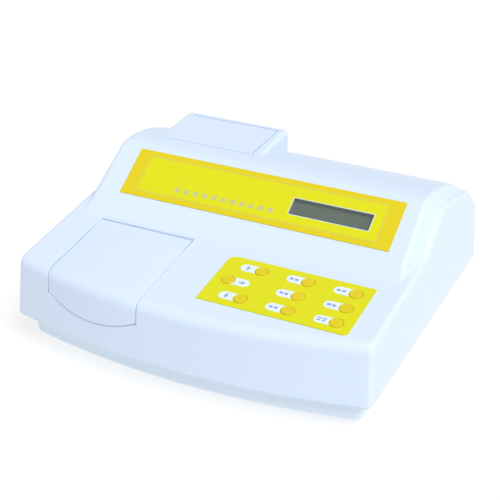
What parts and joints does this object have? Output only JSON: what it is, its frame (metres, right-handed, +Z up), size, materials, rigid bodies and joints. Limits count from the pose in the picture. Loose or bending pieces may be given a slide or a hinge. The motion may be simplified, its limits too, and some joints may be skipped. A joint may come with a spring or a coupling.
{
  "type": "bench-top water tester",
  "caption": "Bench-top water tester: wide plastic case with a bowed front, hinged sample lid, sloping display, keypad and a raised lamp hatch behind.",
  "frame": {"origin": "middle of the bounding box's footprint, on the surface that the feet stand on", "axes": "+X along the width to the operator's right, +Y from the operator to the back, +Z up"},
  "size_m": [0.361, 0.3222, 0.146],
  "materials": {
    "case": "moulded, satin",
    "cover": "moulded, satin",
    "foam": "soft foam",
    "rubber": "matt",
    "steel": "plain",
    "black_plastic": "matt",
    "ceramic": "ceramic",
    "clear_glass": "clear",
    "window": "smoked",
    "lcd": "display",
    "label": "printed film",
    "key": "printed film",
    "iron": "lacquered laminations",
    "panel": "painted",
    "circuit_board": "lacquered"
  },
  "bodies": {
    "case": {"upper_shell": "case", "base_tray": "case", "rubber_foot_1": "rubber", "rubber_foot_2": "rubber", "rubber_foot_3": "rubber", "rubber_foot_4": "rubber", "case_screw_1": "steel", "case_screw_2": "steel", "case_screw_3": "steel", "case_screw_4": "steel", "lid_hinge_pin": "steel", "lid_bracket_left": "black_plastic", "lid_bracket_right": "black_plastic", "sample_compartment": "black_plastic", "hatch_hinge_pin": "steel", "hatch_bracket_left": "black_plastic", "hatch_bracket_right": "black_plastic", "lamp_bay": "black_plastic", "lamp_socket": "ceramic", "lamp_bulb": "clear_glass", "light_tube": "black_plastic", "condenser_lens": "clear_glass", "detector_block": "black_plastic", "display_label": "label", "lcd_window": "window", "lcd_module": "lcd", "display_board": "circuit_board", "keypad_overlay": "label", "keypad_board": "circuit_board", "main_board": "circuit_board", "transformer": "iron", "rear_panel": "panel", "mains_inlet": "black_plastic", "switch_body": "black_plastic", "fuse_holder": "black_plastic", "signal_connector": "steel"},
    "lid": {"sample_lid": "cover", "light_seal_pad": "foam"},
    "hatch": {"rear_hatch": "cover"},
    "key_1_cap": {"key_1": "key"},
    "key_2_cap": {"key_2": "key"},
    "key_3_cap": {"key_3": "key"},
    "key_4_cap": {"key_4": "key"},
    "key_5_cap": {"key_5": "key"},
    "key_6_cap": {"key_6": "key"},
    "key_7_cap": {"key_7": "key"},
    "key_8_cap": {"key_8": "key"},
    "key_9_cap": {"key_9": "key"},
    "rocker": {"power_rocker": "black_plastic"},
    "fuse_drawer": {"fuse_carrier": "black_plastic"}
  },
  "joints": [
    {"name": "lid_hinge", "type": "hinge", "parent": "case", "child": "lid", "pos_m": [-0.0889, -0.04938, 0.09351], "axis": [-1, 0, 0], "range_deg": [0, 95]},
    {"name": "hatch_hinge", "type": "hinge", "parent": "case", "child": "hatch", "pos_m": [-0.07875, 0.12285, 0.14113], "axis": [-1, 0, 0], "range_deg": [0, 94]},
    {"name": "key_1_press", "type": "slide", "parent": "case", "child": "key_1_cap", "axis": [0, 0.1011, -0.9949], "range_m": [0, 0.0006], "stiffness_N_per_m": 400},
    {"name": "key_2_press", "type": "slide", "parent": "case", "child": "key_2_cap", "axis": [0, 0.1011, -0.9949], "range_m": [0, 0.0006], "stiffness_N_per_m": 400},
    {"name": "key_3_press", "type": "slide", "parent": "case", "child": "key_3_cap", "axis": [0, 0.1011, -0.9949], "range_m": [0, 0.0006], "stiffness_N_per_m": 400},
    {"name": "key_4_press", "type": "slide", "parent": "case", "child": "key_4_cap", "axis": [0, 0.1011, -0.9949], "range_m": [0, 0.0006], "stiffness_N_per_m": 400},
    {"name": "key_5_press", "type": "slide", "parent": "case", "child": "key_5_cap", "axis": [0, 0.1011, -0.9949], "range_m": [0, 0.0006], "stiffness_N_per_m": 400},
    {"name": "key_6_press", "type": "slide", "parent": "case", "child": "key_6_cap", "axis": [0, 0.1011, -0.9949], "range_m": [0, 0.0006], "stiffness_N_per_m": 400},
    {"name": "key_7_press", "type": "slide", "parent": "case", "child": "key_7_cap", "axis": [0, 0.1011, -0.9949], "range_m": [0, 0.0006], "stiffness_N_per_m": 400},
    {"name": "key_8_press", "type": "slide", "parent": "case", "child": "key_8_cap", "axis": [0, 0.1011, -0.9949], "range_m": [0, 0.0006], "stiffness_N_per_m": 400},
    {"name": "key_9_press", "type": "slide", "parent": "case", "child": "key_9_cap", "axis": [0, 0.1011, -0.9949], "range_m": [0, 0.0006], "stiffness_N_per_m": 400},
    {"name": "rocker_pivot", "type": "hinge", "parent": "case", "child": "rocker", "pos_m": [0.076, 0.15645, 0.0577], "axis": [1, 0, 0], "range_deg": [0, 16]},
    {"name": "fuse_slide", "type": "slide", "parent": "case", "child": "fuse_drawer", "axis": [0, 1, 0], "range_m": [0, 0.02]}
  ]
}
